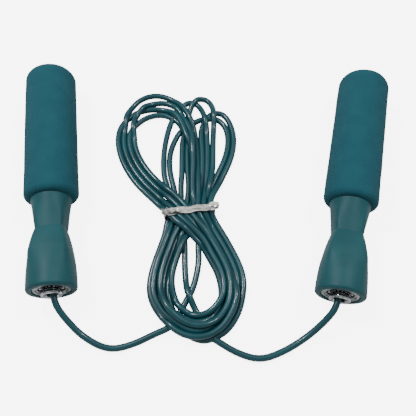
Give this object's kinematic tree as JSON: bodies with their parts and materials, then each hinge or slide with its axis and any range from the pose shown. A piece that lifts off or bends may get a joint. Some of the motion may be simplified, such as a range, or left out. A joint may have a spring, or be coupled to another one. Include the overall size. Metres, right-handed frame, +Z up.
{
  "type": "jump rope",
  "caption": "Jump rope with foam-gripped moulded handles, ball-bearing swivels and a plastic rope wound into a tied hank.",
  "frame": {"origin": "on the surface that the jump rope lies on, under the middle of the two handles' common box", "axes": "+Z up, +X from the left handle to the right handle, +Y towards the handles' closed foam ends; the rope leaves both handles towards -Y"},
  "size_m": [0.2743, 0.2155, 0.036],
  "materials": {
    "handle_plastic": "satin moulded plastic",
    "grip_foam": "matt closed-cell foam",
    "bearing_steel": "satin plated steel",
    "ball_steel": "polished steel",
    "stop_plastic": "moulded plastic",
    "rope_plastic": "semi-gloss extruded plastic",
    "tie_plastic": "milky plastic film",
    "tie_wire": "thin plain wire"
  },
  "bodies": {
    "rope": {"rope_left_run": "rope_plastic", "rope_right_run": "rope_plastic", "rope_hank": "rope_plastic", "tie_strip": "tie_plastic", "tie_wire": "tie_wire", "left_bearing_bush": "bearing_steel", "right_bearing_bush": "bearing_steel", "left_rope_washer": "bearing_steel", "right_rope_washer": "bearing_steel", "left_rope_stop": "stop_plastic", "right_rope_stop": "stop_plastic"},
    "left_handle": {"left_handle_body": "handle_plastic", "left_foam_grip": "grip_foam", "left_bearing_race": "bearing_steel"},
    "left_balls": {"left_bearing_balls": "ball_steel"},
    "right_handle": {"right_handle_body": "handle_plastic", "right_foam_grip": "grip_foam", "right_bearing_race": "bearing_steel"},
    "right_balls": {"right_bearing_balls": "ball_steel"}
  },
  "joints": [
    {"name": "left_spin", "type": "hinge", "parent": "rope", "child": "left_handle", "pos_m": [-0.0975, -0.0836, 0.018], "axis": [0.1305, -0.9914, 0], "continuous": true},
    {"name": "left_roll", "type": "hinge", "parent": "rope", "child": "left_balls", "pos_m": [-0.0975, -0.0836, 0.018], "axis": [0.1305, -0.9914, 0], "continuous": true},
    {"name": "right_spin", "type": "hinge", "parent": "rope", "child": "right_handle", "pos_m": [0.084, -0.0867, 0.018], "axis": [-0.213, -0.977, 0], "continuous": true},
    {"name": "right_roll", "type": "hinge", "parent": "rope", "child": "right_balls", "pos_m": [0.084, -0.0867, 0.018], "axis": [-0.213, -0.977, 0], "continuous": true}
  ],
  "couplings": [
    {"joint": "left_roll", "follows": "left_spin", "ratio": 0.61111},
    {"joint": "right_roll", "follows": "right_spin", "ratio": 0.61111}
  ]
}
